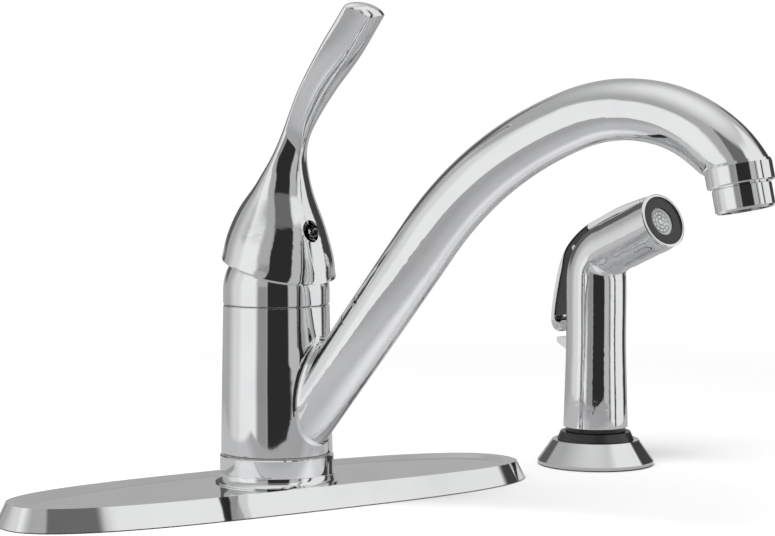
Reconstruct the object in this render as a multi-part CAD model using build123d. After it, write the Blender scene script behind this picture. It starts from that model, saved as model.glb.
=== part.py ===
from build123d import *
from math import atan, atan2, cos, pi, radians, sin, sqrt, tan
import os

# Side spray kitchen faucet, in millimetres, +Z up. The origin is the centre of the
# column on the deck. +X runs along the plate to the right, -Y points to the user.

# ---------------------------------------------------------------- clearances
snug = 0.02            # radial play of pieces that are fixed to each other
running = 0.05         # radial play of a shaft in its bore
slide_gap = 0.3        # gap between faces that pass each other
thrust_gap = 0.1       # gap between flat faces that turn on each other

# ---------------------------------------------------------------- escutcheon plate
plate_length = 260.0
plate_width = 74.4
plate_end_power = 3.2      # superellipse power along the length
plate_side_power = 2.44    # superellipse power across
plate_height = 9.5         # crest of the rim at the middle of the plate
plate_crown = 1.5          # how much lower the rim is at the ends
plate_inset_x = 4.2        # draft of the end walls, over the height
plate_inset_y = 5.3        # draft of the long walls, over the height
plate_lift = 0.5           # the walls end this far above the deck
plate_wall = 2.0
rim_width = 1.2            # flat crest of the rim at the middle
rim_slope = 3.5            # width of the slope from the rim down to the dish
dish_depth = 1.3
gasket_thickness = 2.0
gasket_play = 0.4          # gasket edge to plate wall

# ---------------------------------------------------------------- fastening to the deck
stud_spacing = 203.2       # eight inch centres
stud_radius = 4.76         # shank through the deck
stud_thread = 4.4          # ends, under the deck and in the plate's boss
stud_length = 58.0         # below the deck
stud_depth = 4.0           # threaded into the plate's boss
stud_hole = 6.5            # holes in the gasket
boss_wall = 3.0
nut_radius = 19.0
nut_thickness = 9.0
nut_wing = 5.0
washer_radius = 17.0
washer_thickness = 1.6
deck_thickness = 25.0      # thickest deck, where the nuts are drawn

# ---------------------------------------------------------------- valve body
body_radius = 18.0
flange_radius = 22.0
flange_thickness = 3.0
neck_thread_radius = 19.5  # thread for the bonnet cap
ball_height = 92.0         # centre of the ball above the deck
ball_radius = 12.0
socket_play = 0.3
cam_bore_radius = 15.1
cam_floor_rise = 3.0       # floor of the cam's bore over the ball's centre
body_rise = 9.0            # top of the valve body over the ball's centre
inlet_offset = 10.0        # hot and cold inlets left and right of the axis
inlet_back = 5.0
inlet_bore = 3.4
tube_radius = 4.76         # 3/8 inch copper
tube_bore = 3.9
tube_socket = 9.0          # depth of the tube in the valve body
tube_length = 62.0         # below the deck
fitting_radius = 7.14      # 9/16-24 thread, 3/8 inch compression
fitting_length = 14.0
fitting_hex = 8.0
fitting_hex_height = 5.0
spray_port_offset = 10.5   # spray outlet in front of the axis
spray_bore = 3.0
nipple_radius = 6.86       # 1/4 inch pipe thread
nipple_bore = 3.6
nipple_length = 22.0
nipple_thread_length = 16.0
nipple_hex = 7.9
nipple_spigot_radius = 4.5
nipple_spigot_length = 7.0
seat_radius = 4.2
seat_spread = 32.0         # angle of each seat from straight down
seat_azimuth = 35.0        # the seats lie this far behind the left-right line
seat_thickness = 4.4
seat_pocket = 10.5         # depth of the seat pocket below the ball's surface
seat_bore = 1.9
spring_wire = 0.7
seat_spring_turns = 3.0
mix_bore = 3.5             # waterway from the socket to the outlet port
mix_forward = 6.0
port_height = 45.0         # where the water leaves for the spout

# ---------------------------------------------------------------- sleeve, base ring, glides
sleeve_bottom = 21.1
sleeve_drop = 6.3          # top of the sleeve below the ball's centre
sleeve_radius_low = 24.45
sleeve_radius_high = 23.2
sleeve_bore = 19.75
shoulder_gap = 0.4         # seam under the bonnet cap
ring_gap = 0.7             # dark line under the sleeve
ring_radius = 24.9
ring_foot_radius = 27.0
ring_foot_edge = 0.6
ring_foot_height = 5.0
glide_thickness = 1.6
glide_edge = 1.6           # the lower glide ring lies inside the base ring by this
glide_high_radius = 21.4
oring_cord = 1.4
oring_low = 27.0
oring_drop = 13.7          # upper o-ring below the sleeve's top
groove_play = 0.1
annulus_radius = 15.5      # water space round the valve body
annulus_half = 14.0

# ---------------------------------------------------------------- spout
spout_swing = 20.0         # rest position, right of straight ahead
spout_start = 15.9         # where the tube's centre line meets the column axis
spout_rise = 51.0          # its elevation
spout_straight = 130.6
spout_bends = ((150.7, 32.6), (69.5, 29.6), (58.8, 39.0))
spout_radii = ((0.0, 12.1), (0.35, 12.7), (0.6, 12.4), (0.82, 11.9), (1.0, 12.3))
spout_wall = 1.7
outlet_reach = 221.6       # centre of the collar's upper edge
outlet_height = 148.8
outlet_lean = 11.7         # the collar leans out by this from straight down
collar_radius_top = 12.35
collar_radius = 12.75
collar_length = 8.3
collar_step = 0.15         # the collar's upper edge stands proud of the tube by this
collar_overlap = 0.7       # the tube ends this far inside the collar
aerator_radius = 11.2
aerator_length = 9.2
aerator_gap = 0.5
aerator_thread = 10.3      # 13/16-27 thread
aerator_thread_length = 6.0
aerator_mouth = 9.0
root_fillet = 3.0

# ---------------------------------------------------------------- bonnet, cam, adjusting ring
shoulder_radius = 23.2
adjust_radius = 13.5
adjust_bore = 9.7
adjust_rise = 18.4         # over the ball's centre
bonnet_rise = 17.9
cam_height = 6.0
cam_radius = 15.0
packing_thickness = 2.0

# ---------------------------------------------------------------- handle
handle_turn = 9.0          # rest position, right of straight ahead
handle_tilt = 15.4         # rest tilt towards the user: closed
handle_travel = 28.0
handle_clearance = 24.1    # radius of the hollow under the dome
stem_radius = 3.2
stem_reach = 42.0
socket_radius = 6.4        # boss round the stem
boss_start = 24.6
hollow_top = 34.0
hollow_base_radius = 14.5
hollow_base = 19.0
hollow_top_radius = 10.5
screw_height = 31.6
handle_ridge = 0.6         # how sharp the ridge along the lever's underside is
handle_twist = 11.0        # of the lever's end about the lever
screw_hole = 4.2
screw_radius = 2.5
screw_length = 6.5
screw_hex = 1.45
# Sections of dome and lever: height over the ball, forward offset, half width,
# half depth.
handle_sections = (
    (10.5, -0.9, 25.3, 25.0),
    (20.0, -2.8, 22.7, 24.2),
    (32.0, -4.7, 17.9, 20.2),
    (45.0, -5.8, 13.1, 12.0),
    (58.0, -5.7, 9.0, 6.6),
    (66.0, -4.9, 7.3, 5.3),
    (75.0, -2.6, 7.7, 4.2),
    (90.0, 3.4, 9.2, 4.3),
    (110.0, 14.2, 10.6, 4.9),
    (129.0, 23.9, 10.0, 4.6),
)
crown_rise = 3.6           # domed end of the lever
crown_depth = 1.0          # the dome's widest place below the end
crown_margin = 1.05

# ---------------------------------------------------------------- diverter
diverter_radius = 6.0
diverter_length = 15.0
diverter_bore = 3.3
diverter_web = 2.0
plunger_radius = 2.2
plunger_head = 3.0
plunger_head_length = 2.0
plunger_travel = 1.6
diverter_spring_turns = 4.0

# ---------------------------------------------------------------- sprayer and holder
sprayer_x = 180.0
sprayer_turn = 5.0
holder_radius = 28.1
holder_top_radius = 20.9
holder_height = 12.2
holder_edge = 1.6
bush_radius = 18.5
bush_top_radius = 16.9
bush_top = 16.1
bush_bore = 12.6
shank_radius = 14.6
shank_length = 40.0
holder_gasket_thickness = 1.0
holder_nut_radius = 22.0
holder_nut_thickness = 8.0
neck_radius = 14.5
neck_bottom = 16.4
neck_tail_radius = 12.2
neck_tail_length = 12.0
grip_bottom = 18.5
head_rise = 22.1           # elevation of the head's axis
head_cross = 101.7         # where it meets the grip's axis
head_bend = 16.0
head_length = 48.0         # from the crossing to the face
head_radius = 13.0
# Radius of grip, bend and head against the way along their axis.
sprayer_radii = ((0.0, 15.6), (39.5, 14.5), (70.0, 14.5), (92.0, 13.3), (130.0, 13.4))
grip_bore = 11.0
grip_cavity_top = 58.0
link_bore = 4.0
lip_rounding = 1.0         # outer edge of the head's rim
face_ring_radius = 11.9
face_ring_depth = 5.0
face_ring_recess = 0.8
disc_radius = 6.8
disc_recess = 1.2          # behind the nozzle ring's face
disc_depth = 3.0
head_cavity = 10.2
head_cavity_depth = 30.0
valve_drop = 17.0          # valve below the trigger's pin
valve_stem_radius = 2.0
valve_head_radius = 3.6
valve_head_length = 2.0
valve_head_back = 5.0
valve_travel = 1.6
valve_chamber = 4.6
valve_chamber_half = 6.0
valve_spring_turns = 4.0
valve_spring_wire = 0.9
trigger_travel = 4.5
trigger_half_width = 7.2
# Depth of the trigger's shell along its outer line, thin over the pin, solid at the tip.
trigger_depths = ((0.0, 1.9), (0.3, 1.9), (0.5, 3.8), (0.86, 3.8), (1.0, 8.4))
trigger_crown = 1.7
trigger_side_gap = 0.4
pivot_forward = -7.0
pivot_rise = 3.3           # trigger's pin over the crossing
pivot_pin = 1.5
pin_length = 16.8
# Outer line of the trigger: forward, height over the crossing.
trigger_line = (
    (0.0, 16.3), (-4.9, 13.4), (-10.0, 9.5), (-16.6, 2.2), (-20.2, -5.3),
    (-22.5, -13.0), (-24.6, -22.4), (-25.8, -31.4), (-25.4, -35.6), (-23.4, -38.8),
)
# Raised rib on the head, in line with the trigger: forward, height over the crossing.
rib_line = ((37.0, 29.6), (28.0, 27.1), (19.0, 24.3), (9.5, 20.4), (0.0, 16.3))
rib_thickness = 4.0
hub_radius = 3.2
liner_half_width = 6.4
# Inner line of the black liner, from the hub to above the tip: forward, height over
# the crossing. It is straight where the valve's stem meets it.
liner_line = ((-2.0, 8.3), (-5.5, 1.8), (-9.5, -2.7), (-12.0, -8.7), (-12.0, -23.7),
              (-13.0, -29.1))
lug_drop = 41.2            # stop under the trigger's tip, below the crossing
lug_height = 7.2
lug_back = 23.2
lug_half_width = 4.2
coupling_radius = 9.0
coupling_bore = 6.0
coupling_length = 12.0

# ---------------------------------------------------------------- derived places
ball_centre = (0, 0, ball_height)
cam_bore_floor = ball_height + cam_floor_rise
body_top = ball_height + body_rise
sleeve_top = ball_height - sleeve_drop
oring_high = sleeve_top - oring_drop
adjust_top = ball_height + adjust_rise
bonnet_top = ball_height + bonnet_rise
floor_top = plate_height - dish_depth            # dish floor at the column
flange_top = floor_top - plate_wall - plate_crown * (2 * flange_radius / plate_length) ** 2
flange_bottom = flange_top - flange_thickness
ring_top = sleeve_bottom - ring_gap
glide_low_top = sleeve_bottom - thrust_gap
glide_low_bottom = glide_low_top - glide_thickness
bonnet_bottom = sleeve_top + shoulder_gap
glide_high_top = bonnet_bottom - snug
glide_high_bottom = glide_high_top - glide_thickness
packing_top = cam_bore_floor + packing_thickness
cam_bottom = packing_top + thrust_gap / 2
cam_top = cam_bottom + cam_height
adjust_bottom = cam_top + thrust_gap / 2
joint_radius = ball_radius + socket_play         # every surface that faces the ball
groove_radius = sleeve_bore - slide_gap - 2 * oring_cord - snug
bend_tangent = head_bend * tan(radians(90 - head_rise) / 2)
pivot_height = head_cross + pivot_rise
valve_height = pivot_height - valve_drop
lug_top = head_cross - lug_drop
lug_bottom = lug_top - lug_height


# ---------------------------------------------------------------- shared shapes
def rod(radius, low, high):
    return Pos(0, 0, (low + high) / 2) * Cylinder(radius, high - low)


def ring(outer, inner, low, high):
    return rod(outer, low, high) - rod(inner, low - 1, high + 1)


def turned(*points):
    """A solid of revolution about Z from (radius, height) points."""
    outline = Polyline(*[(r, 0, z) for r, z in points], close=True)
    return revolve(make_face(outline), Axis.Z)


def hexagon(radius, low, high):
    return extrude(Pos(0, 0, low) * RegularPolygon(radius, 6, major_radius=False), high - low)


def coil(radius, wire, length, turns):
    """A helical spring along +Z from the origin, its ends on flat planes."""
    rise = length - wire
    path = Pos(0, 0, wire / 2) * Helix(rise / turns, rise, radius)
    section = Plane(path @ 0, z_dir=path % 0) * Circle(wire / 2)
    return sweep(section, path=path, is_frenet=True)


def superellipse(inset_x, inset_y, height):
    """The plate's plan at one height, drawn in from its largest outline."""
    half_x = plate_length / 2 - inset_x
    half_y = plate_width / 2 - inset_y
    points = []
    for step in range(40):
        angle = 2 * pi * (step + 0.5) / 40
        c, s = cos(angle), sin(angle)
        x = half_x * abs(c) ** (2 / plate_end_power) * (1 if c > 0 else -1)
        y = half_y * abs(s) ** (2 / plate_side_power) * (1 if s > 0 else -1)
        points.append((x, y, height))
    return make_face(Spline(*points, periodic=True))


def plate_block(inset, low, high):
    """A block with the plate's drafted walls, drawn in by inset."""
    outlines = []
    for height in (low, high):
        share = (height - plate_lift) / (plate_height - plate_lift)
        outlines.append(
            superellipse(plate_inset_x * share + inset, plate_inset_y * share + inset, height)
        )
    return loft(outlines, ruled=True)


def crown_drop(x):
    return plate_crown * (2 * x / plate_length) ** 2


def under_crown(top):
    """Everything below the crowned surface whose middle is at top."""
    end = plate_length / 2 + plate_height
    low = top - crown_drop(end)
    arc = ThreePointArc((-end, 0, low), (0, 0, top), (end, 0, low))
    base = Polyline((end, 0, low), (end, 0, -10), (-end, 0, -10), (-end, 0, low))
    return extrude(make_face(arc + base), plate_width, both=True)


def blend(table, at):
    """Smooth values between the rows of a table whose first column is the place."""
    places = [row[0] for row in table]
    index = max(i for i in range(len(table) - 1) if places[i] <= at or i == 0)
    span = places[index + 1] - places[index]
    share = (at - places[index]) / span

    def slope(i, column):
        low, high = max(i - 1, 0), min(i + 1, len(table) - 1)
        return (table[high][column] - table[low][column]) / (places[high] - places[low])

    values = []
    for column in range(1, len(table[0])):
        start, end = table[index][column], table[index + 1][column]
        out, into = slope(index, column) * span, slope(index + 1, column) * span
        values.append(
            (2 * share ** 3 - 3 * share ** 2 + 1) * start + (3 - 2 * share) * share ** 2 * end
            + (share ** 3 - 2 * share ** 2 + share) * out + (share ** 3 - share ** 2) * into
        )
    return values


# ---------------------------------------------------------------- placing
def swung(shape):
    """From straight ahead to the spout's rest position."""
    return Rot(0, 0, spout_swing) * shape


def on_stem(shape):
    """From the ball's own frame, lever ahead, to the handle's rest position."""
    return Pos(*ball_centre) * Rot(0, 0, handle_turn) * Rot(handle_tilt, 0, 0) * shape


def at_sprayer(shape):
    """From the sprayer's own frame, nozzle ahead, to its place on the deck."""
    return Pos(sprayer_x, 0, 0) * Rot(0, 0, sprayer_turn) * shape


# ---------------------------------------------------------------- plate and deck pieces
def escutcheon_plate():
    shell = plate_block(0, plate_lift, plate_height) & under_crown(plate_height)
    depth = dish_depth + plate_crown + 0.5
    dish = loft([
        superellipse(plate_inset_x + rim_width + rim_slope * depth / dish_depth,
                     plate_inset_y + rim_width + rim_slope * depth / dish_depth,
                     plate_height - depth),
        superellipse(plate_inset_x + rim_width, plate_inset_y + rim_width, plate_height),
    ], ruled=True)
    shell -= dish - under_crown(floor_top)
    shell -= plate_block(plate_wall, plate_lift - 1, plate_height - 1) & under_crown(
        floor_top - plate_wall)
    stud_x = stud_spacing / 2
    boss_top = floor_top - crown_drop(stud_x) - plate_wall / 2
    for x in (-stud_x, stud_x):
        shell += Pos(x, 0, 0) * rod(stud_thread + boss_wall, gasket_thickness, boss_top)
        shell -= Pos(x, 0, 0) * rod(stud_thread + snug, 0, gasket_thickness + stud_depth)
    return shell - rod(body_radius + snug, 0, plate_height + 1)


def deck_gasket():
    inset = plate_wall + gasket_play
    pad = plate_block(inset, plate_lift, plate_lift + gasket_thickness)
    pad = Pos(0, 0, -plate_lift) * pad
    pad -= rod(flange_radius - 2, -1, gasket_thickness + 1)
    for x in (-stud_spacing / 2, stud_spacing / 2):
        pad -= Pos(x, 0, 0) * rod(stud_hole, -1, gasket_thickness + 1)
    return pad


def at_studs(shape):
    return [Pos(x, 0, 0) * shape for x in (-stud_spacing / 2, stud_spacing / 2)]


def mounting_studs():
    top = gasket_thickness + stud_depth - snug
    stud = chamfer(rod(stud_thread, -stud_length, top).edges(), 0.6)
    return at_studs(stud + rod(stud_radius, snug - deck_thickness, gasket_thickness - snug))


def mounting_washers():
    return at_studs(ring(washer_radius, stud_thread + snug,
                         -deck_thickness - washer_thickness, -deck_thickness))


def mounting_nuts():
    top = -deck_thickness - washer_thickness - snug
    nut = hexagon(nut_radius * 0.6, top - nut_thickness, top)
    wing = Pos(0, 0, top - nut_thickness / 2) * Box(2 * nut_radius, nut_wing, nut_thickness)
    return at_studs(nut + wing - rod(stud_thread + snug, -stud_length, 0))


# ---------------------------------------------------------------- valve body and waterways
def seat_frame(side):
    """Along a seat's axis: +Z points from the ball's centre out through the seat."""
    spread, turn = radians(seat_spread), radians(seat_azimuth)
    out = (side * sin(spread) * cos(turn), sin(spread) * sin(turn), -cos(spread))
    return Plane(ball_centre, x_dir=(0, 1, 0), z_dir=out).location


def valve_body():
    body = turned(
        (0, flange_bottom), (flange_radius, flange_bottom), (flange_radius, flange_top),
        (body_radius, flange_top), (body_radius, bonnet_bottom),
        (neck_thread_radius - 0.8, bonnet_bottom), (neck_thread_radius, bonnet_bottom + 0.8),
        (neck_thread_radius, body_top - 0.8), (neck_thread_radius - 0.8, body_top),
        (0, body_top),
    )
    body -= ring(body_radius + 1, annulus_radius, port_height - annulus_half,
                 port_height + annulus_half)
    for height in (oring_low, oring_high):
        half = oring_cord + groove_play
        body -= ring(body_radius + 1, groove_radius, height - half, height + half)
    body -= rod(cam_bore_radius, cam_bore_floor, body_top + 1)
    body -= Pos(*ball_centre) * Sphere(joint_radius)
    body -= rod(joint_radius, ball_height, cam_bore_floor + 1)
    for side in (-1, 1):
        pocket = rod(seat_radius, ball_radius - 2, ball_radius + seat_pocket)
        body -= seat_frame(side) * pocket
        body -= Pos(side * inlet_offset, inlet_back, 0) * (
            rod(inlet_bore, 0, ball_height - ball_radius - 4)
            + rod(tube_radius + snug, 0, flange_bottom + tube_socket))
    body -= Pos(0, -mix_forward, 0) * rod(mix_bore, port_height, ball_height - 6)
    body -= Pos(0, -spray_port_offset, 0) * (
        rod(spray_bore, 0, port_height)
        + rod(nipple_spigot_radius + snug, 0, flange_bottom + nipple_spigot_length))
    body -= Pos(0, -annulus_radius, port_height) * Rot(-90, 0, 0) * rod(
        diverter_radius + snug, -1, diverter_length)
    return body


def supply_tubes():
    top = flange_bottom + tube_socket - snug
    tube = ring(tube_radius, tube_bore, -tube_length, top)
    return [Pos(side * inlet_offset, inlet_back, 0) * tube for side in (-1, 1)]


def supply_fittings():
    low, high = -tube_length, -tube_length + fitting_length
    fitting = rod(fitting_radius, low, high)
    fitting += hexagon(fitting_hex, high - fitting_hex_height, high)
    fitting -= rod(tube_radius + snug, low - 1, high + 1)
    return [Pos(side * inlet_offset, inlet_back, 0) * fitting for side in (-1, 1)]


def spray_hose_nipple():
    low = flange_bottom - nipple_length
    nipple = rod(nipple_radius, low, low + nipple_thread_length)
    nipple += hexagon(nipple_hex, low + nipple_thread_length, flange_bottom - snug)
    nipple += rod(nipple_spigot_radius, low, flange_bottom + nipple_spigot_length - snug)
    nipple -= rod(nipple_bore, low - 1, flange_bottom + nipple_spigot_length)
    return Pos(0, -spray_port_offset, 0) * nipple


def rubber_seats():
    seats = []
    for side in (-1, 1):
        seat = rod(seat_radius - snug, ball_radius - 2, ball_radius + socket_play + seat_thickness)
        seat -= rod(seat_bore, 0, 2 * ball_radius) + Sphere(joint_radius)
        seats.append(seat_frame(side) * seat)
    return seats


def seat_springs():
    start = ball_radius + socket_play + seat_thickness + snug
    length = ball_radius + seat_pocket - start - snug
    spring = Pos(0, 0, start) * coil(seat_radius - spring_wire, spring_wire, length,
                                     seat_spring_turns)
    return [seat_frame(side) * spring for side in (-1, 1)]


def spout_o_rings():
    centre = sleeve_bore - slide_gap - oring_cord
    return [Pos(0, 0, height) * Torus(centre, oring_cord) for height in (oring_low, oring_high)]


def base_ring():
    inner = body_radius + snug
    foot_top = floor_top + ring_foot_height
    foot = floor_top + ring_foot_edge
    lip = ring_radius - glide_edge
    sweep_in = ring_foot_radius - ring_radius
    start = (ring_foot_radius, 0, foot)
    middle = (ring_radius + 0.22 * sweep_in, 0, foot + 0.42 * (foot_top - foot))
    outline = Polyline((ring_radius, 0, foot_top), (ring_radius, 0, ring_top - 0.4),
                       (ring_radius - 0.4, 0, ring_top), (lip, 0, ring_top),
                       (lip, 0, glide_low_bottom), (inner, 0, glide_low_bottom),
                       (inner, 0, floor_top), (ring_foot_radius, 0, floor_top), start)
    flare = ThreePointArc(start, middle, (ring_radius, 0, foot_top))
    return revolve(make_face(outline + flare), Axis.Z)


def lower_glide_ring():
    return ring(ring_radius - glide_edge - snug, body_radius + snug,
                glide_low_bottom + snug, glide_low_top)


def upper_glide_ring():
    return ring(glide_high_radius, body_radius + snug, glide_high_bottom, glide_high_top)


# ---------------------------------------------------------------- diverter
def in_diverter_bore(shape):
    """From the bore's own frame, +Z inwards from its mouth, to the valve body."""
    return Pos(0, -annulus_radius, port_height) * Rot(-90, 0, 0) * shape


def diverter_cartridge():
    sleeve = rod(diverter_radius, snug, diverter_length - snug)
    sleeve -= rod(diverter_bore, diverter_web, diverter_length + 1)
    return in_diverter_bore(sleeve - rod(plunger_radius + running, -1, diverter_web + 1))


def diverter_plunger():
    head_end = diverter_length - snug - plunger_travel - slide_gap
    plunger = rod(plunger_radius, 1, head_end)
    plunger += rod(plunger_head, head_end - plunger_head_length, head_end)
    return in_diverter_bore(plunger)


def diverter_spring():
    """Round the plunger, from the cartridge's web to the plunger's head."""
    start = diverter_web + snug
    head = diverter_length - snug - plunger_travel - slide_gap - plunger_head_length
    radius = (plunger_radius + diverter_bore) / 2
    spring = coil(radius, spring_wire, head - snug - start, diverter_spring_turns)
    return in_diverter_bore(Pos(0, 0, start) * spring)


# ---------------------------------------------------------------- ball, cam, bonnet
def cam_packing():
    pad = rod(cam_bore_radius - snug, cam_bore_floor + snug, packing_top)
    return pad - Pos(*ball_centre) * Sphere(joint_radius)


def valve_cam():
    disc = rod(cam_radius, cam_bottom, cam_top) - Pos(*ball_centre) * Sphere(joint_radius)
    lean = (cam_top - ball_height) * tan(radians(handle_tilt))
    half = lean + stem_radius / cos(radians(handle_tilt)) + slide_gap
    slot = SlotOverall(2 * half, 2 * (stem_radius + slide_gap), rotation=90)
    disc -= extrude(Pos(0, 0, ball_height) * slot, cam_top)
    return Rot(0, 0, handle_turn) * disc


def adjusting_ring():
    nut = ring(adjust_radius, adjust_bore, adjust_bottom, adjust_top)
    for angle in (0, 90):
        nut -= Pos(0, 0, adjust_top) * Rot(0, 0, angle) * Box(3 * adjust_radius, 2.4, 2.4)
    return nut


def bonnet_cap():
    step = body_top + thrust_gap
    lip = sqrt(shoulder_radius ** 2 - (bonnet_top - ball_height) ** 2)
    inner, bore = neck_thread_radius + snug, adjust_radius + snug
    roof = cam_top + thrust_gap
    angle = atan2(bonnet_top - ball_height, lip) / 2
    middle = (shoulder_radius * cos(angle), 0, ball_height + shoulder_radius * sin(angle))
    arc = ThreePointArc((shoulder_radius, 0, ball_height), middle, (lip, 0, bonnet_top))
    rest = Polyline((lip, 0, bonnet_top), (bore, 0, bonnet_top), (bore, 0, roof + 1.6),
                    (cam_bore_radius, 0, roof), (cam_bore_radius, 0, step),
                    (inner, 0, step), (inner, 0, bonnet_bottom),
                    (shoulder_radius - 0.4, 0, bonnet_bottom),
                    (shoulder_radius, 0, bonnet_bottom + 0.4),
                    (shoulder_radius, 0, ball_height))
    return revolve(make_face(arc + rest), Axis.Z)


def valve_ball():
    ball = Sphere(ball_radius) + rod(stem_radius, ball_radius - 1, stem_reach)
    for side in (-1, 1):
        ball -= Rot(0, 180 - side * seat_spread, 0) * rod(seat_bore, 4, ball_radius + 1)
    ball -= Rot(180, 0, 0) * rod(mix_bore, 3, ball_radius + 1)
    return on_stem(ball)


# ---------------------------------------------------------------- handle
def handle_section(height):
    """Round at the dome, with a ridge on the user's side up the lever."""
    forward, half_width, half_depth = blend(handle_sections, height)
    slope = (blend(handle_sections, height + 1)[0] - blend(handle_sections, height - 1)[0]) / 2
    share = min(max((height - 32) / 26, 0), 1)
    lean = atan(slope) * share
    twist = -handle_twist * max(height - 58, 0) / (handle_sections[-1][0] - 58)
    squeeze = 2 / (2 - handle_ridge * share)
    points = []
    for step in range(36):
        angle = 2 * pi * step / 36
        c, s = cos(angle), sin(angle)
        if s < 0:
            c = abs(c) ** squeeze * (1 if c > 0 else -1)
            s = -abs(s) ** squeeze
        points.append((half_width * c, half_depth * s))
    plane = Plane((0, -forward, height), x_dir=(1, 0, 0), z_dir=(0, -sin(lean), cos(lean)))
    outline = Rot(0, 0, twist) * Spline(*points, periodic=True)
    return plane * make_face(outline), Plane(plane.location * Rot(0, 0, twist))


def handle_crown():
    """The lever's end, drawn out and cut to a dome."""
    face, plane = handle_section(handle_sections[-1][0])
    half_width, half_depth = handle_sections[-1][2:]
    dome = scale(Sphere(1), by=(half_width * crown_margin, half_depth * crown_margin,
                                crown_rise + crown_depth))
    end = extrude(face, crown_rise + 1, dir=plane.z_dir)
    return end & (plane.location * Pos(0, 0, -crown_depth) * dome)


def handle_shape():
    """Dome and lever as one loft, in the ball's own frame."""
    low, high = handle_sections[0][0], handle_sections[-1][0]
    count = 20
    heights = [low + (high - low) * i / count for i in range(count + 1)]
    return loft([handle_section(height)[0] for height in heights]) + handle_crown()


def handle_lever():
    handle = handle_shape()
    hollow = Sphere(handle_clearance)
    hollow += turned((0, hollow_base), (hollow_base_radius, hollow_base),
                     (hollow_top_radius, hollow_top), (0, hollow_top))
    hollow -= rod(socket_radius, boss_start, hollow_top + 1)
    handle -= hollow
    handle -= rod(stem_radius + snug, 0, stem_reach + snug)
    front = Pos(0, 0, screw_height) * Rot(90, 0, 0)
    handle -= front * rod(screw_hole, socket_radius, 30)
    handle -= front * rod(screw_radius + snug, 0, 30)
    return on_stem(handle)


def set_screw():
    start = stem_radius + snug
    screw = rod(screw_radius, start, start + screw_length)
    screw = chamfer(screw.edges().sort_by(Axis.Z)[-1], 0.4)
    screw -= hexagon(screw_hex, start + screw_length - 3, start + screw_length + 1)
    return on_stem(Pos(0, 0, screw_height) * Rot(90, 0, 0) * screw)


# ---------------------------------------------------------------- spout
def spout_point(forward, height):
    return (0, -forward, height)


def outlet_frame():
    """Collar frame: origin at the middle of its upper edge, +Z down the outlet."""
    lean = radians(outlet_lean)
    return Plane(spout_point(outlet_reach, outlet_height), x_dir=(1, 0, 0),
                 z_dir=(0, -sin(lean), -cos(lean))).location


def spout_line():
    """The centre line, one point a millimetre: run, forward, height, elevation."""
    pieces = [(spout_straight, 0.0)] + [(r * radians(a), a / (r * radians(a)))
                                        for r, a in spout_bends]
    forward, height, angle, run = 0.0, spout_start, spout_rise, 0.0
    line = [(run, forward, height, angle)]
    for length, bend in pieces:
        count = round(length)
        for _ in range(count):
            step = length / count
            middle = radians(angle - bend * step / 2)
            forward += step * cos(middle)
            height += step * sin(middle)
            angle -= bend * step
            run += step
            line.append((run, forward, height, angle))
    return line


def spout_tube(shrink):
    """The arm from the column's axis to the collar, drawn in by shrink."""
    line = spout_line()
    count = 24
    sections = []
    for index in range(count):
        run, forward, height, angle = line[5 + round((len(line) - 6) * index / count)]
        radius = blend(spout_radii, run / line[-1][0])[0] - shrink
        turn = radians(angle)
        plane = Plane(spout_point(forward, height), x_dir=(1, 0, 0),
                      z_dir=(0, -cos(turn), sin(turn)))
        sections.append(plane * Circle(radius))
    end = outlet_frame() * Pos(0, 0, collar_overlap)
    sections.append(end * Circle(collar_radius_top - collar_step - shrink))
    return loft(sections)


def spout():
    hub = turned((0, sleeve_bottom), (sleeve_radius_low - 0.4, sleeve_bottom),
                 (sleeve_radius_low, sleeve_bottom + 0.4),
                 (sleeve_radius_high, sleeve_top - 0.4),
                 (sleeve_radius_high - 0.4, sleeve_top), (0, sleeve_top))
    collar = outlet_frame() * turned(
        (0, 0), (collar_radius_top, 0), (collar_radius, 1.2), (collar_radius, collar_length - 0.5),
        (collar_radius - 0.5, collar_length), (0, collar_length))
    whole = hub + spout_tube(0)
    root = [edge for edge in whole.edges().filter_by(GeomType.BSPLINE)
            if edge.bounding_box().min.Z > sleeve_bottom
            and edge.bounding_box().max.Z < sleeve_top]
    whole = fillet(root, root_fillet) + collar - spout_tube(spout_wall)
    thread = collar_length - aerator_thread_length - 0.5
    whole -= outlet_frame() * (
        rod(aerator_thread + snug, thread, collar_length + 1)
        + rod(collar_radius_top - spout_wall - 1.2, -1, thread + 1))
    whole -= rod(sleeve_radius_low + 3, 0, sleeve_bottom)
    whole -= rod(sleeve_bore, 0, sleeve_top + 1)
    whole -= rod(glide_high_radius + slide_gap, glide_high_bottom - thrust_gap, sleeve_top + 1)
    return swung(whole)


def aerator_frame():
    """+Z down the outlet, from the shell's shoulder under the collar."""
    return outlet_frame() * Pos(0, 0, collar_length + aerator_gap)


def aerator_shell():
    top = -aerator_gap - aerator_thread_length
    shell = turned((0, top), (aerator_thread, top), (aerator_thread, 0),
                   (aerator_radius - 0.4, 0), (aerator_radius, 0.4),
                   (aerator_radius, aerator_length - 0.8),
                   (aerator_radius - 0.8, aerator_length), (0, aerator_length))
    shell -= rod(aerator_mouth, top + 1.5, aerator_length + 1)
    shell -= rod(aerator_mouth - 1.2, top - 1, top + 2)
    return swung(aerator_frame() * shell)


def aerator_insert():
    low = -aerator_gap - aerator_thread_length + 1.5 + snug
    insert = rod(aerator_mouth - snug, low, low + 6)
    for angle in range(0, 360, 45):
        insert -= Rot(0, 0, angle) * Pos(5.6, 0, 0) * rod(1.1, low - 1, low + 8)
    return swung(aerator_frame() * (insert - rod(1.6, low - 1, low + 8)))


def aerator_screen():
    high = aerator_length - 1.2
    screen = rod(aerator_mouth - snug, high - 1, high)
    for row in range(-4, 5):
        for column in range(-4, 5):
            if row * row + column * column < 18:
                screen -= Pos(1.7 * row, 1.7 * column, high - 0.5) * Box(1.1, 1.1, 2)
    return swung(aerator_frame() * screen)


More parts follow.
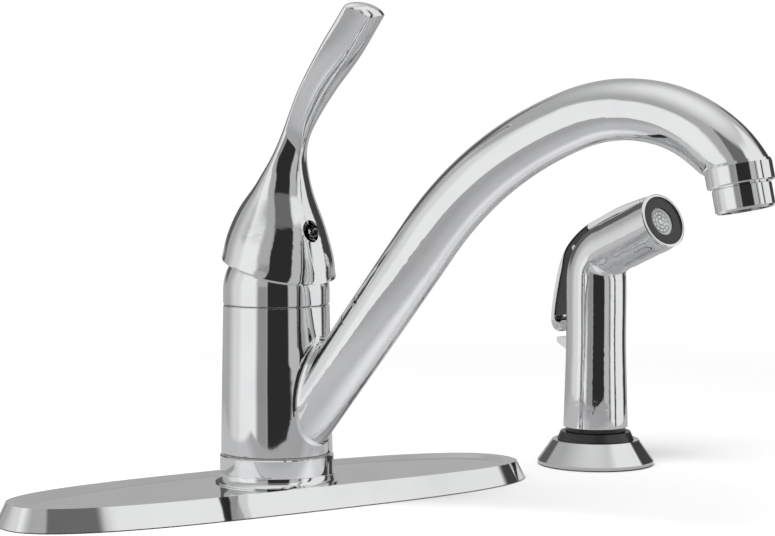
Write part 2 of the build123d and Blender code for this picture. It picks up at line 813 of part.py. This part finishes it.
def aerator_washer():
    high = -aerator_gap - aerator_thread_length - snug
    return swung(aerator_frame() * ring(aerator_thread - snug, 6.5, high - 0.46, high))


# ---------------------------------------------------------------- sprayer
def sprayer_shape():
    """Grip, bend and head as one tube."""
    bend_start = head_cross - bend_tangent
    turn_total = radians(90 - head_rise)
    straight = bend_start - grip_bottom
    bend = head_bend * turn_total
    total = straight + bend + head_length - bend_tangent
    sections = []
    count = 26
    for index in range(count + 1):
        run = total * index / count
        turn = min(max((run - straight) / head_bend, 0), turn_total)
        forward = head_bend * (1 - cos(turn))
        height = min(grip_bottom + run, bend_start) + head_bend * sin(turn)
        beyond = max(run - straight - bend, 0)
        point = (0, -forward - beyond * sin(turn_total), height + beyond * cos(turn_total))
        plane = Plane(point, x_dir=(1, 0, 0), z_dir=(0, -sin(turn), cos(turn)))
        sections.append(plane * Circle(blend(sprayer_radii, run)[0]))
    return loft(sections)


def face_frame():
    """Nozzle frame: origin at the middle of the head's rim, +Z out of the face."""
    rise = radians(head_rise)
    point = (0, -head_length * cos(rise), head_cross + head_length * sin(rise))
    return Plane(point, x_dir=(1, 0, 0), z_dir=(0, -cos(rise), sin(rise))).location


def side_points(line):
    """Points of a side-view line given forward and over the head's crossing."""
    return [Vector(0, -forward, head_cross + height) for forward, height in line]


def shell_depth(share):
    """Thickness of the trigger's shell at a share of its outer line."""
    for (start, thick), (end, next_thick) in zip(trigger_depths, trigger_depths[1:]):
        if share <= end:
            rise = (share - start) / (end - start)
            return thick + (next_thick - thick) * rise * rise * (3 - 2 * rise)
    return trigger_depths[-1][1]


def trigger_outline(depth, beyond, last=1.0):
    """Points along the trigger's outer line, set in by depth(share), ends drawn out."""
    outer = Spline(*side_points(trigger_line))
    count = 16
    points = []
    for index in range(count + 1):
        share = last * index / count
        along = outer % share
        place = outer @ share + along * (beyond * (2 * index / count - 1))
        points.append(place + Vector(0, along.Z, -along.Y) * depth(share))
    return points


def shell_space(above, below, beyond, half_width):
    """Side view of the trigger's shell, from above it to below it, with flat sides."""
    top = trigger_outline(lambda share: -above, beyond)
    low = trigger_outline(lambda share: shell_depth(share) + below, beyond)
    return extrude(make_face(Polyline(*top, *reversed(low), close=True)), half_width, both=True)


def liner_block(gap, half_width):
    """Side view of the liner, from the shell to its inner line, grown by a gap."""
    back = trigger_outline(lambda share: shell_depth(share) + thrust_gap, gap,
                           trigger_depths[-2][0])
    inner = [point - Vector(0, gap, gap / 2) for point in side_points(liner_line)]
    inner[-1] -= Vector(0, 0, gap)
    outline = Polyline(*back, *reversed(inner), close=True)
    hub = Cylinder(hub_radius + gap, 2 * half_width)
    return extrude(make_face(outline), half_width, both=True) + (
        Pos(0, -pivot_forward, pivot_height) * Rot(0, 90, 0) * hub)


def pivot_rod(radius, length):
    return Pos(0, -pivot_forward, pivot_height) * Rot(0, 90, 0) * Cylinder(radius, length)


def trigger_pivot(angle):
    """Turns a shape about the trigger's pin, positive as the trigger is pressed."""
    return (Pos(0, -pivot_forward, pivot_height) * Rot(-angle, 0, 0)
            * Pos(0, pivot_forward, -pivot_height))


def crowned_strip(side_line, depth, first_cut, last_cut):
    """A strip with a crowned outer face along a side-view line, narrowed at its ends."""
    outer = Spline(*side_points(side_line))
    sections = []
    count = 24
    for index in range(count + 1):
        share = index / count
        edge = trigger_half_width - first_cut * max(1 - 8 * share, 0) ** 2
        edge -= last_cut * max(8 * share - 7, 0) ** 2
        outline = Polyline((-edge, -trigger_crown), (-edge, -depth(share)),
                           (edge, -depth(share)), (edge, -trigger_crown))
        top = ThreePointArc((-edge, -trigger_crown), (0, 0), (edge, -trigger_crown))
        plane = Plane(outer @ share, x_dir=(1, 0, 0), z_dir=-(outer % share))
        sections.append(plane * make_face(outline + top))
    return loft(sections)


def spray_trigger():
    """Crowned chrome shell of the trigger, with its solid tip."""
    return at_sprayer(crowned_strip(trigger_line, shell_depth, 0, 1.2))


def trigger_liner():
    """Black inner part of the trigger: it turns on the pin and pushes the valve."""
    liner = liner_block(0, liner_half_width)
    return at_sprayer(liner - pivot_rod(pivot_pin + running, 40))


def lip_waste():
    """What is taken off the rim of the head to round it."""
    edge = sprayer_radii[-1][1]
    out = edge + 4
    start, end = (edge - lip_rounding, 0, 0), (edge + 0.1, 0, -1.1 * lip_rounding)
    arc = ThreePointArc(start, (edge - 0.25 * lip_rounding, 0, -0.3 * lip_rounding), end)
    rest = Polyline(end, (out, 0, end[2]), (out, 0, 1), (start[0], 0, 1), start)
    return revolve(make_face(arc + rest), Axis.Z)


def spray_body():
    body = sprayer_shape() + crowned_strip(rib_line, lambda share: rib_thickness, 1.2, 0)
    body -= face_frame() * lip_waste()
    lug = make_face(Polyline((0, 12, lug_top), (0, lug_back, lug_top),
                             (0, lug_back, lug_top - 2.5), (0, 13.5, lug_bottom),
                             (0, 12, lug_bottom), close=True))
    body += extrude(lug, lug_half_width, both=True)
    body -= rod(grip_bore, 0, grip_cavity_top)
    body -= rod(link_bore, grip_cavity_top - 1, valve_height)
    face = face_frame()
    body -= face * rod(face_ring_radius + snug, -face_ring_depth - face_ring_recess, 1)
    body -= face * rod(head_cavity, -head_cavity_depth, 0)
    back_end = face * Pos(0, 0, -head_cavity_depth)
    link = Line((0, 0, valve_height), back_end.position)
    body -= sweep(Plane(link @ 0, z_dir=link % 0) * Circle(link_bore), path=link)
    body -= Pos(0, 0, valve_height) * Rot(90, 0, 0) * (
        rod(valve_chamber, -valve_head_back - 1, valve_chamber_half)
        + rod(valve_stem_radius + running, -20, 0))
    width = trigger_half_width + trigger_side_gap
    room = liner_block(trigger_side_gap, width) + shell_space(
        2, trigger_side_gap, trigger_side_gap, width)
    body -= room + [trigger_pivot(angle) * room for angle in (trigger_travel / 2, trigger_travel)]
    return at_sprayer(body - pivot_rod(pivot_pin + snug, pin_length))


def trigger_pin():
    return at_sprayer(pivot_rod(pivot_pin, pin_length - 2 * snug))


def nozzle_ring():
    high = -face_ring_recess
    low = -face_ring_depth - face_ring_recess + snug
    face = ring(face_ring_radius, disc_radius + snug, low, high)
    return at_sprayer(face_frame() * face)


def spray_disc():
    high = -face_ring_recess - disc_recess
    disc = rod(disc_radius, high - disc_depth, high)
    for radius in (1.6, 3.4, 5.2):
        disc -= ring(radius + 0.45, radius - 0.45, high - 0.8, high + 1)
    for count, radius in ((6, 2.5), (12, 4.3)):
        for index in range(count):
            disc -= Rot(0, 0, 360 * index / count) * Pos(radius, 0, 0) * rod(
                0.4, high - disc_depth - 1, high + 1)
    return at_sprayer(face_frame() * disc)


def spray_valve_stem():
    back = -liner_line[3][0] - slide_gap
    stem = rod(valve_stem_radius, -back, -valve_head_back + valve_head_length)
    stem += rod(valve_head_radius, -valve_head_back, -valve_head_back + valve_head_length)
    return at_sprayer(Pos(0, 0, valve_height) * Rot(90, 0, 0) * stem)


def spray_valve_spring():
    start = -valve_head_back + valve_head_length + snug
    length = valve_chamber_half - valve_travel - slide_gap - start
    spring = Pos(0, 0, start) * coil(valve_head_radius - valve_spring_wire / 2,
                                     valve_spring_wire, length, valve_spring_turns)
    return at_sprayer(Pos(0, 0, valve_height) * Rot(90, 0, 0) * spring)


def sprayer_neck():
    tail = neck_bottom - neck_tail_length
    neck = turned((0, tail), (neck_tail_radius, tail), (neck_tail_radius, neck_bottom),
                  (neck_radius, neck_bottom), (neck_radius, grip_bottom - snug),
                  (grip_bore - snug, grip_bottom - snug), (grip_bore - snug, grip_bottom + 8),
                  (0, grip_bottom + 8))
    return at_sprayer(neck - rod(coupling_radius + snug, 0, grip_bottom + 9))


def hose_coupling():
    low = neck_bottom - neck_tail_length
    return at_sprayer(ring(coupling_radius, coupling_bore, low, low + coupling_length))


# ---------------------------------------------------------------- holder
def holder_flange():
    low = holder_gasket_thickness
    flange = turned(
        (shank_radius + snug, low), (holder_radius - 2, low), (holder_radius - 2, plate_lift),
        (holder_radius - 0.3, plate_lift), (holder_radius, plate_lift + 0.3),
        (holder_radius, plate_lift + holder_edge), (holder_top_radius, holder_height),
        (bush_radius + snug, holder_height), (bush_radius + snug, low + 2),
        (shank_radius + snug, low + 2))
    return at_sprayer(flange)


def holder_bush():
    low = holder_gasket_thickness + 2 + snug
    bush = turned(
        (0, -shank_length), (shank_radius, -shank_length), (shank_radius, low),
        (bush_radius, low), (bush_radius, holder_height + 0.4),
        (bush_top_radius, bush_top), (0, bush_top))
    seat = neck_bottom - neck_tail_length - slide_gap
    bush -= rod(bush_bore, seat, bush_top + 1)
    return at_sprayer(bush - rod(bush_bore - 2, -shank_length - 1, bush_top))


def holder_gasket():
    return at_sprayer(ring(holder_radius - 2 - snug, shank_radius + snug, 0,
                           holder_gasket_thickness))


def holder_nut():
    top = -deck_thickness
    nut = hexagon(holder_nut_radius, top - holder_nut_thickness, top)
    return at_sprayer(nut - rod(shank_radius + snug, -shank_length - 1, 0))


# ---------------------------------------------------------------- writing the pieces
pieces = (
    escutcheon_plate, deck_gasket, mounting_studs, mounting_washers, mounting_nuts,
    valve_body, supply_tubes, supply_fittings, spray_hose_nipple, rubber_seats, seat_springs,
    spout_o_rings, base_ring, lower_glide_ring, upper_glide_ring, diverter_cartridge,
    diverter_plunger, diverter_spring, cam_packing, valve_cam, adjusting_ring, bonnet_cap, valve_ball,
    handle_lever, set_screw, spout, aerator_shell, aerator_insert, aerator_screen,
    aerator_washer, spray_body, spray_trigger, trigger_liner, trigger_pin, nozzle_ring,
    spray_disc, spray_valve_stem, spray_valve_spring, sprayer_neck, hose_coupling, holder_flange,
    holder_bush, holder_gasket, holder_nut,
)

os.makedirs("parts", exist_ok=True)
for make in pieces:
    shape = make()
    if isinstance(shape, list):
        shape = Compound(children=shape)
    export_step(shape, f"parts/{make.__name__}.step")
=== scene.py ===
from math import cos, degrees, radians, sin

import bmesh
import bpy
from mathutils import Matrix, Vector

# Side spray kitchen faucet. Metres, +Z up, -Y towards the user; the origin is the
# centre of the column on the deck.

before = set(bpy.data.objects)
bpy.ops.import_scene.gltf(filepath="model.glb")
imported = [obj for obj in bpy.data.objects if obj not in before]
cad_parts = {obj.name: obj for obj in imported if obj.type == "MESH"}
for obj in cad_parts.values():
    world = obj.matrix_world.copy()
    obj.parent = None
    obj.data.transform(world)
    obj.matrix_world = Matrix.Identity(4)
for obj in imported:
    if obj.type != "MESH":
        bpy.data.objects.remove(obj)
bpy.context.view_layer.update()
scene = bpy.context.scene

# ---------------------------------------------------------------- camera
PHOTO_WIDTH, PHOTO_HEIGHT = 775, 536
CAMERA_AZIMUTH = radians(-30.675)
CAMERA_DISTANCE, CAMERA_HEIGHT = 0.9085, 0.15774
CAMERA_YAW, CAMERA_PITCH = radians(-3.06), radians(3.546)
FOCAL_PIXELS = 2083.6
SENSOR = 36.0


def add_camera():
    """A camera at the photograph's viewing angle."""
    camera = bpy.data.objects.new("camera", bpy.data.cameras.new("camera"))
    scene.collection.objects.link(camera)
    turn, dip = CAMERA_AZIMUTH + CAMERA_YAW, CAMERA_PITCH
    back = Vector((sin(turn) * cos(dip), -cos(turn) * cos(dip), sin(dip)))
    right = Vector((cos(turn), sin(turn), 0))
    up = back.cross(right)
    matrix = Matrix((right, up, back)).transposed().to_4x4()
    matrix.translation = (sin(CAMERA_AZIMUTH) * CAMERA_DISTANCE,
                          -cos(CAMERA_AZIMUTH) * CAMERA_DISTANCE, CAMERA_HEIGHT)
    camera.matrix_world = matrix
    camera.data.sensor_fit = "HORIZONTAL"
    camera.data.sensor_width = SENSOR
    camera.data.lens = FOCAL_PIXELS * SENSOR / PHOTO_WIDTH
    camera.data.clip_start, camera.data.clip_end = 0.01, 50
    scene.camera = camera


# ---------------------------------------------------------------- shader maths
class Field:
    """A socket that can be used in Python expressions."""

    def __init__(self, graph, socket):
        self.graph, self.socket = graph, socket

    def math(self, operation, *others, clamp=False):
        node = self.graph.node("ShaderNodeMath", {"operation": operation, "use_clamp": clamp})
        for index, value in enumerate((self, *others)):
            self.graph.feed(node.inputs[index], value)
        return Field(self.graph, node.outputs[0])

    def __add__(self, other): return self.math("ADD", other)
    __radd__ = __add__

    def __mul__(self, other): return self.math("MULTIPLY", other)
    __rmul__ = __mul__

    def __sub__(self, other): return self.math("SUBTRACT", other)

    def __rsub__(self, other): return (self * -1) + other

    def step(self, low, high):
        """0 below low, 1 above high, smooth between."""
        node = self.graph.node("ShaderNodeMapRange", {"interpolation_type": "SMOOTHSTEP"},
                               {"Value": self, "From Min": low, "From Max": high})
        return Field(self.graph, node.outputs["Result"])


class Graph:
    """The nodes of one material or of the world."""

    def __init__(self, owner):
        owner.use_nodes = True
        self.tree = owner.node_tree
        self.tree.nodes.clear()

    def feed(self, socket, value):
        if isinstance(value, Field):
            self.tree.links.new(value.socket, socket)
        elif isinstance(value, bpy.types.NodeSocket):
            self.tree.links.new(value, socket)
        else:
            socket.default_value = value

    def node(self, kind, settings=None, inputs=None):
        made = self.tree.nodes.new(kind)
        for name, value in (settings or {}).items():
            setattr(made, name, value)
        for name, value in (inputs or {}).items():
            self.feed(made.inputs[name], value)
        return made

    def field(self, kind, output, settings=None, inputs=None):
        return Field(self, self.node(kind, settings, inputs).outputs[output])

    def place(self):
        return self.node("ShaderNodeTexCoord").outputs["Object"]

    def noise(self, scale, detail=2.0, place=None):
        return self.field("ShaderNodeTexNoise", "Fac", {"noise_dimensions": "3D"},
                          {"Vector": place or self.place(), "Scale": scale, "Detail": detail})

    def mix(self, share, first, second):
        node = self.node("ShaderNodeMix", {"data_type": "RGBA"})
        self.feed(node.inputs[0], share)
        self.feed(node.inputs[6], first)
        self.feed(node.inputs[7], second)
        return node.outputs[2]

    def bump(self, height, distance):
        return self.node("ShaderNodeBump", None, {"Height": height, "Distance": distance,
                                                  "Strength": 1.0}).outputs["Normal"]

    def surface(self, **inputs):
        named = {name.replace("_", " "): value for name, value in inputs.items()}
        shader = self.node("ShaderNodeBsdfPrincipled", None, named)
        self.node("ShaderNodeOutputMaterial", None, {"Surface": shader.outputs[0]})


def material(name):
    made = bpy.data.materials.new(name)
    return made, Graph(made)


# ---------------------------------------------------------------- finishes
def polished_chrome():
    """Bright plating with a trace of polishing haze and a slightly uneven ground."""
    made, graph = material("polished_chrome")
    place = graph.place()
    haze = graph.noise(38, 4, place).step(0.45, 0.75)
    fine = graph.noise(900, 2, place)
    wave = graph.noise(26, 1, place)
    graph.surface(Base_Color=graph.mix(haze, (0.80, 0.805, 0.81, 1), (0.765, 0.77, 0.78, 1)),
                  Metallic=1.0, Roughness=0.028 + haze * 0.022 + fine * 0.008,
                  Normal=graph.bump(wave, 0.00035))
    return made


def metal(name, bright, dull, rough, scale):
    """A plain metal with cloudy tarnish and fine turning marks."""
    made, graph = material(name)
    place = graph.place()
    cloud = graph.noise(scale, 5, place)
    tarnish = cloud.step(0.35, 0.7)
    fine = graph.noise(scale * 22, 2, place)
    graph.surface(Base_Color=graph.mix(tarnish, bright, dull), Metallic=1.0,
                  Roughness=rough + tarnish * 0.12 + fine * 0.05,
                  Normal=graph.bump(fine, 0.00004))
    return made


def moulded(name, colour, worn, rough, grain):
    """Moulded plastic or rubber with a fine grain."""
    made, graph = material(name)
    place = graph.place()
    cloud = graph.noise(60, 3, place).step(0.4, 0.7)
    fine = graph.noise(1500, 3, place)
    graph.surface(Base_Color=graph.mix(cloud, colour, worn),
                  Roughness=rough + cloud * 0.06 + fine * 0.05,
                  Normal=graph.bump(fine, grain))
    return made


finishes = {
    "chrome": polished_chrome(),
    "brass": metal("turned_brass", (0.72, 0.52, 0.24, 1), (0.55, 0.38, 0.17, 1), 0.22, 90),
    "copper": metal("drawn_copper", (0.78, 0.42, 0.28, 1), (0.55, 0.28, 0.18, 1), 0.25, 70),
    "stainless": metal("stainless", (0.62, 0.62, 0.61, 1), (0.52, 0.52, 0.51, 1), 0.2, 120),
    "zinc_steel": metal("zinc_plate", (0.66, 0.67, 0.68, 1), (0.52, 0.54, 0.57, 1), 0.3, 80),
    "rubber": moulded("black_rubber", (0.03, 0.03, 0.031, 1), (0.045, 0.045, 0.045, 1),
                      0.55, 0.00006),
    "black_plastic": moulded("black_plastic", (0.016, 0.016, 0.017, 1),
                             (0.024, 0.024, 0.025, 1), 0.24, 0.00002),
    "white_plastic": moulded("white_plastic", (0.72, 0.72, 0.69, 1), (0.66, 0.66, 0.63, 1),
                             0.35, 0.00003),
    "grey_plastic": moulded("grey_plastic", (0.56, 0.565, 0.57, 1), (0.5, 0.505, 0.51, 1),
                            0.32, 0.00003),
}
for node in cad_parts.values():
    for place in node.material_slots:
        place.material = finishes[place.material.name]


# ---------------------------------------------------------------- stage
FLOOR_RADIUS, TENT_RADIUS = 8, 4.0
WHITE = (1, 1, 1, 1)
FLOOR_COLOUR = (0.93, 0.93, 0.93, 1)
FADE_FROM, FADE_TO = 0.3, 0.75        # distance from the object where the floor turns white
# The painted table that only the metal mirrors: its front edge and slant, its sides, its edges'
# width.
TABLE_FRONT, TABLE_SLANT, TABLE_LEFT, TABLE_RIGHT = 0.272, 0.3, 0.24, 0.34
FRONT_EDGE, SIDE_EDGE = 0.01, 0.04
# Grey levels of the floor's painted reflection: the table, its painted sheen patch, and its
# painted darker bands at the front and the back.
TABLE_SHADE, SHEEN_SHADE, FRONT_SHADE, BACK_SHADE = 0.47, 0.3, 0.14, 0.1
TENT_SHADE, ROOF_SHADE = 0.46, 0.5
WORLD_LEVEL, LAMP_ENERGY = 0.62, 34
LAMP_PLACE, LAMP_TARGET = (-0.9, -0.5, 1.7), (0.05, 0, 0.05)
# Parts of the tent: bearing from and to, rise from and to, softness, level. Set so that the
# bands on the chrome fall as in the photograph from the main view.
TENT_PARTS = (
    (-112, -60, -90, 28, 14, 0.8),
    (-84, -42, -90, 33, 7, 0.98),
    (-41, -20, -90, 12, 4, 0.33),
    (-44, -20, 12, 52, 6, 0.48),
    (30, 112, 33, 56, 6, 0.95),
    (-22, 27, 30, 54, 3, 0.17),
    (-19, 26, -90, 33, 1.5, 0.03),
    (26, 44, -90, 32, 3, 0.56),
    (44.5, 47, -90, 20, 0.7, 0.06),
    (52, 66, -90, 35, 2, 0.95),
    (67, 72, -90, 28, 1.5, 0.06),
    (74, 112, -90, 36, 3, 0.92),
    (114, 134, -90, 4, 3, 0.05),
    (112, 150, 0, 33, 3, 0.06),
    (-168, -138, 4, 34, 4, 0.12),
)


def emit(graph, colour, strength=1.0):
    return graph.node("ShaderNodeEmission", None,
                      {"Color": colour, "Strength": strength}).outputs[0]


def add_stage(name, shape, made):
    mesh = bpy.data.meshes.new(name)
    shape.to_mesh(mesh)
    shape.free()
    mesh.materials.append(made)
    stage = bpy.data.objects.new(name, mesh)
    scene.collection.objects.link(stage)
    return stage


def camera_axes(graph, place):
    """A place as its distances to the right of, along and above the line from the
    column to the camera."""
    split = graph.node("ShaderNodeSeparateXYZ", None, {"Vector": place})
    east, north, height = (Field(graph, split.outputs[i]) for i in range(3))
    side = east * cos(CAMERA_AZIMUTH) + north * sin(CAMERA_AZIMUTH)
    front = east * sin(CAMERA_AZIMUTH) - north * cos(CAMERA_AZIMUTH)
    return side, front, height


def add_floor():
    """A pale floor that keeps the shadow and fades to white away from the object.

    Reflections see it painted as a darker table with a front edge and two sides, with a painted
    sheen patch and painted darker bands at its front and back."""
    made, graph = material("pale_floor")
    side, front, _ = camera_axes(graph, graph.place())
    across, along = side - 0.06, front + 0.04
    away = (across * across + along * along).math("SQRT").step(FADE_FROM, FADE_TO)
    rays = graph.node("ShaderNodeLightPath")
    camera = Field(graph, rays.outputs["Is Camera Ray"])
    glossy = Field(graph, rays.outputs["Is Glossy Ray"])
    beyond = (front - side * TABLE_SLANT).step(TABLE_FRONT, TABLE_FRONT + FRONT_EDGE)
    for edge in ((side * -1).step(TABLE_LEFT, TABLE_LEFT + SIDE_EDGE),
                 side.step(TABLE_RIGHT, TABLE_RIGHT + SIDE_EDGE)):
        beyond = beyond.math("MAXIMUM", edge)
    # Painted reflection: for reflections only, the floor is painted a darker grey, with a
    # painted sheen patch and painted darker bands towards the front and the back.
    sheen_side, sheen_front = (side - 0.11) * 8, (front - 0.03) * 13
    sheen = 1 - (sheen_side * sheen_side + sheen_front * sheen_front).math("SQRT").step(0.4, 1)
    shade = (TABLE_SHADE + sheen * SHEEN_SHADE - front.step(0.10, 0.19) * FRONT_SHADE
             - (front * -1).step(0.2, 0.4) * BACK_SHADE)
    mirrored = graph.node("ShaderNodeCombineColor", None,
                          {"Red": shade, "Green": shade, "Blue": shade * 1.01}).outputs[0]
    matt = graph.node("ShaderNodeBsdfDiffuse", None, {
        "Color": graph.mix(glossy, FLOOR_COLOUR, mirrored)})
    seen = graph.node("ShaderNodeMixShader", None, {0: away * camera, 1: matt.outputs[0],
                                                    2: emit(graph, WHITE)})
    clear = graph.node("ShaderNodeBsdfTransparent")
    shader = graph.node("ShaderNodeMixShader", None, {0: beyond * glossy, 1: seen.outputs[0],
                                                      2: clear.outputs[0]})
    graph.node("ShaderNodeOutputMaterial", None, {"Surface": shader.outputs[0]})
    shape = bmesh.new()
    bmesh.ops.create_circle(shape, cap_ends=True, segments=96, radius=FLOOR_RADIUS)
    add_stage("floor", shape, made)


def add_tent():
    """The studio that the chrome mirrors: a tent with light and dark parts, which only
    reflections see.

    Bearings are degrees to the right of the line from the column to the camera."""
    made, graph = material("tent_cloth")
    side, front, height = camera_axes(graph, graph.place())
    bearing = side.math("ARCTAN2", front) * degrees(1)
    flat = (side * side + front * front).math("SQRT")
    rise = height.math("ARCTAN2", flat) * degrees(1)

    def span(value, low, high, soft):
        return value.step(low - soft, low + soft) * (1 - value.step(high - soft, high + soft))

    level = TENT_SHADE + rise.step(38, 85) * ROOF_SHADE
    for low, high, floor, roof, soft, shade in TENT_PARTS:
        patch = span(bearing, low, high, soft) * span(rise, floor, roof, min(soft, 4))
        level = level + patch * (level * -1 + shade)
    graph.node("ShaderNodeOutputMaterial", None,
               {"Surface": emit(graph, WHITE, level)})
    shape = bmesh.new()
    bmesh.ops.create_uvsphere(shape, u_segments=96, v_segments=48, radius=TENT_RADIUS)
    bmesh.ops.reverse_faces(shape, faces=shape.faces)
    tent = add_stage("tent", shape, made)
    tent.visible_camera = tent.visible_diffuse = tent.visible_shadow = False
    tent.visible_transmission = tent.visible_volume_scatter = False


def add_light():
    """Even light from all round and one soft lamp above."""
    world = bpy.data.worlds.new("studio")
    scene.world = world
    graph = Graph(world)
    seen = graph.field("ShaderNodeLightPath", "Is Camera Ray")
    background = graph.node("ShaderNodeBackground", None,
                            {"Color": WHITE, "Strength": WORLD_LEVEL + seen * (1 - WORLD_LEVEL)})
    graph.node("ShaderNodeOutputWorld", None, {"Surface": background.outputs[0]})
    lamp = bpy.data.lights.new("softbox", "AREA")
    lamp.shape, lamp.size, lamp.size_y, lamp.energy = "RECTANGLE", 1.6, 1.2, LAMP_ENERGY
    softbox = bpy.data.objects.new("softbox", lamp)
    softbox.location = LAMP_PLACE
    softbox.rotation_euler = (Vector(LAMP_TARGET) - softbox.location).to_track_quat(
        "-Z", "Y").to_euler()
    softbox.visible_camera = softbox.visible_glossy = False
    scene.collection.objects.link(softbox)


add_camera()
add_floor()
add_tent()
add_light()
scene.view_settings.view_transform = "Standard"
